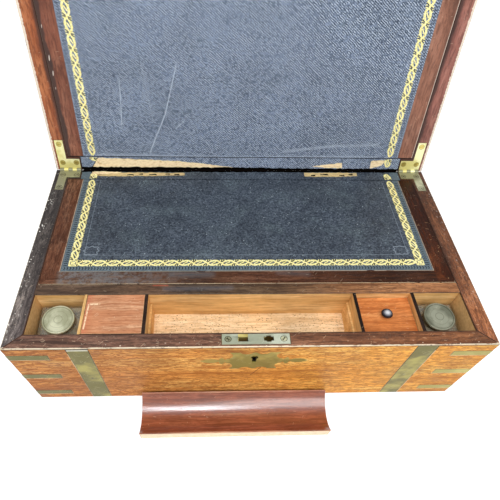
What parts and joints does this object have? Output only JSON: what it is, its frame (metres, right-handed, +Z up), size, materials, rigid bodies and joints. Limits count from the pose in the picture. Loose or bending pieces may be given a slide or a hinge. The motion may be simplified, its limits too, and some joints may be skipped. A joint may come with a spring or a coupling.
{
  "type": "writing box",
  "caption": "Open brass-bound wooden writing box with a sloping split, leather writing flaps, pen compartments, inkwells and a loose pen tray.",
  "frame": {"origin": "centre of the underside of the base", "axes": "+X to the right along the hinge line, +Y from the front to the hinges, +Z up; the lid is stored open as pictured"},
  "size_m": [0.46, 0.4351, 0.3444],
  "materials": {
    "case_wood": "worn polish",
    "pine": "bare",
    "rosewood": "worn polish",
    "leather": "grained, worn, gold tooled",
    "aged_brass": "aged",
    "bright_brass": "worn",
    "pale_mahogany": "satin",
    "mahogany": "satin",
    "red_mahogany": "polished",
    "dark_steel": "polished",
    "bottle_glass": "clear"
  },
  "bodies": {
    "base": {"base_front": "case_wood", "base_back": "case_wood", "base_left": "case_wood", "base_right": "case_wood", "base_bottom": "pine", "base_rim_front": "rosewood", "base_rim_sides": "rosewood", "pen_partition": "pine", "pen_rail": "rosewood", "pen_floor": "pine", "inkwell_floors": "pine", "inkwell_dividers": "pine", "box_dividers": "pine", "divider_caps": "rosewood", "tray_ledges": "pine", "cover_ledges": "pine", "base_flap_cleats": "pine", "base_hinge_leather": "leather", "escutcheon": "aged_brass", "base_straps": "aged_brass", "base_corner_strips": "aged_brass", "lock_plate": "aged_brass", "lock_case": "bright_brass", "base_screws": "bright_brass", "base_hinge_leaves": "aged_brass", "hinge_pins": "bright_brass"},
    "lid": {"lid_front": "case_wood", "lid_back": "case_wood", "lid_left": "case_wood", "lid_right": "case_wood", "lid_top": "case_wood", "lid_rim_front": "rosewood", "lid_rim_sides": "rosewood", "lid_flap_cleats": "pine", "lid_hinge_leather": "leather", "lid_straps": "aged_brass", "lid_corner_strips": "aged_brass", "link_plate": "bright_brass", "lid_screws": "bright_brass", "lid_hinge_leaves": "bright_brass"},
    "base_flap": {"base_flap": "rosewood", "base_flap_border": "rosewood", "base_leather": "leather"},
    "lid_flap": {"lid_flap": "rosewood", "lid_flap_border": "rosewood", "lid_leather": "leather"},
    "lock_bolt": {"lock_bolt": "bright_brass"},
    "flap_catch": {"flap_catch": "bright_brass"},
    "left_cover": {"left_cover": "pale_mahogany"},
    "small_lid": {"small_lid": "mahogany", "small_lid_knob": "dark_steel"},
    "pen_tray": {"pen_tray": "red_mahogany"},
    "left_inkwell": {"left_inkwell": "bottle_glass", "left_collar": "bright_brass"},
    "left_cap": {"left_cap": "aged_brass"},
    "right_inkwell": {"right_inkwell": "bottle_glass", "right_collar": "bright_brass"},
    "right_cap": {"right_cap": "aged_brass"}
  },
  "joints": [
    {"name": "lid_hinge", "type": "hinge", "parent": "base", "child": "lid", "pos_m": [0, 0.13017, 0.09163], "axis": [-1, 0, 0], "range_deg": [-98.13, 81.87]},
    {"name": "base_flap_hinge", "type": "hinge", "parent": "base", "child": "base_flap", "pos_m": [0, 0.1125, 0.0933], "axis": [-1, 0, 0], "range_deg": [0, 85]},
    {"name": "lid_flap_hinge", "type": "hinge", "parent": "lid", "child": "lid_flap", "pos_m": [0, 0.13549, 0.10862], "axis": [1, 0, 0], "range_deg": [0, 85]},
    {"name": "bolt_throw", "type": "slide", "parent": "base", "child": "lock_bolt", "axis": [1, 0, 0], "range_m": [0, 0.004]},
    {"name": "catch_turn", "type": "hinge", "parent": "lid", "child": "flap_catch", "pos_m": [0.07, 0.19694, 0.33231], "axis": [0, -0.9638, 0.2668], "range_deg": [0, 90]},
    {"name": "left_cover_lift", "type": "slide", "parent": "base", "child": "left_cover", "axis": [0, 0, 1], "range_m": [0, 0.06]},
    {"name": "small_lid_lift", "type": "slide", "parent": "base", "child": "small_lid", "axis": [0, 0, 1], "range_m": [0, 0.07]},
    {"name": "pen_tray_lift", "type": "slide", "parent": "base", "child": "pen_tray", "axis": [0, 0, 1], "range_m": [0, 0.12]},
    {"name": "left_inkwell_lift", "type": "slide", "parent": "base", "child": "left_inkwell", "axis": [0, 0, 1], "range_m": [0, 0.1]},
    {"name": "left_cap_lift", "type": "slide", "parent": "left_inkwell", "child": "left_cap", "axis": [0, 0, 1], "range_m": [0, 0.03]},
    {"name": "right_inkwell_lift", "type": "slide", "parent": "base", "child": "right_inkwell", "axis": [0, 0, 1], "range_m": [0, 0.1]},
    {"name": "right_cap_lift", "type": "slide", "parent": "right_inkwell", "child": "right_cap", "axis": [0, 0, 1], "range_m": [0, 0.03]}
  ]
}
